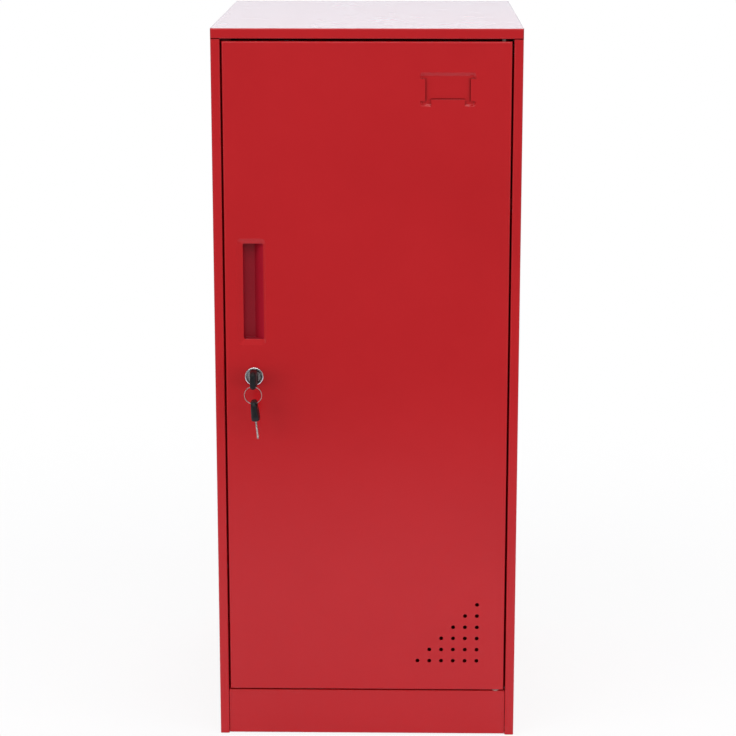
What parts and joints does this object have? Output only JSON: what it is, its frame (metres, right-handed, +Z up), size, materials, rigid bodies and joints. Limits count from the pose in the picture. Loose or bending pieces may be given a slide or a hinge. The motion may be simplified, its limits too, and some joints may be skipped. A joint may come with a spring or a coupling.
{
  "type": "clothing locker",
  "caption": "Free-standing half-height steel locker with a plinth, a right-hung flush door with recessed handle, card holder and vents, a cam lock with keys, shelf and rail.",
  "frame": {"origin": "on the floor, in the middle of the back's lower edge, where the locker stands against a wall", "axes": "+Z up, +Y to the back, so the door faces -Y, +X to the hinge side of the door"},
  "size_m": [0.38, 0.4888, 0.91],
  "materials": {
    "red_powder_coat": "semi-gloss red powder coat on folded sheet steel",
    "zinc_plated_steel": "bright zinc plate",
    "white_nylon": "satin moulded nylon",
    "black_plastic": "satin moulded plastic",
    "nickel_plated_steel": "nickel plate with fine brush marks",
    "chrome_plate": "polished chrome",
    "black_rubber": "matt rubber"
  },
  "bodies": {
    "cabinet": {"left_side_panel": "red_powder_coat", "right_side_panel": "red_powder_coat", "top_panel": "red_powder_coat", "back_panel": "red_powder_coat", "floor_panel": "red_powder_coat", "plinth": "red_powder_coat", "door_bumpers": "black_rubber", "shelf": "red_powder_coat", "shelf_clips": "red_powder_coat", "left_rail_socket": "zinc_plated_steel", "right_rail_socket": "zinc_plated_steel", "coat_rail": "zinc_plated_steel", "upper_hinge_bush": "white_nylon", "lower_hinge_bush": "white_nylon"},
    "door": {"door_skin": "red_powder_coat", "door_stiffener": "red_powder_coat", "handle_cup": "red_powder_coat", "upper_hinge_bracket": "red_powder_coat", "lower_hinge_bracket": "red_powder_coat", "upper_pivot_pin": "white_nylon", "lower_pivot_pin": "white_nylon", "lock_barrel": "chrome_plate", "lock_washer": "zinc_plated_steel", "lock_nut": "zinc_plated_steel"},
    "plug": {"lock_plug": "nickel_plated_steel", "lock_cam": "zinc_plated_steel", "cam_screw": "zinc_plated_steel"},
    "key": {"key_blade": "nickel_plated_steel", "key_head": "black_plastic"},
    "ring": {"key_ring": "nickel_plated_steel"},
    "spare_key": {"spare_key_blade": "nickel_plated_steel", "spare_key_head": "black_plastic"}
  },
  "joints": [
    {"name": "door_hinge", "type": "hinge", "parent": "cabinet", "child": "door", "pos_m": [0.1663, -0.4428, 0.479], "axis": [0, 0, 1], "range_deg": [0, 110]},
    {"name": "lock_turn", "type": "hinge", "parent": "door", "child": "plug", "pos_m": [-0.141, -0.45, 0.4774], "axis": [0, 1, 0], "range_deg": [0, 90]},
    {"name": "key_pull", "type": "slide", "parent": "plug", "child": "key", "axis": [0, -1, 0], "range_m": [0, 0.045]},
    {"name": "ring_swing", "type": "hinge", "parent": "key", "child": "ring", "pos_m": [-0.141, -0.47725, 0.47034], "axis": [-1, 0, 0], "range_deg": [-10, 60]},
    {"name": "spare_key_swing", "type": "hinge", "parent": "ring", "child": "spare_key", "pos_m": [-0.13987, -0.47725, 0.4488], "axis": [-0.9945, 0, -0.1045], "range_deg": [-12, 60]}
  ]
}
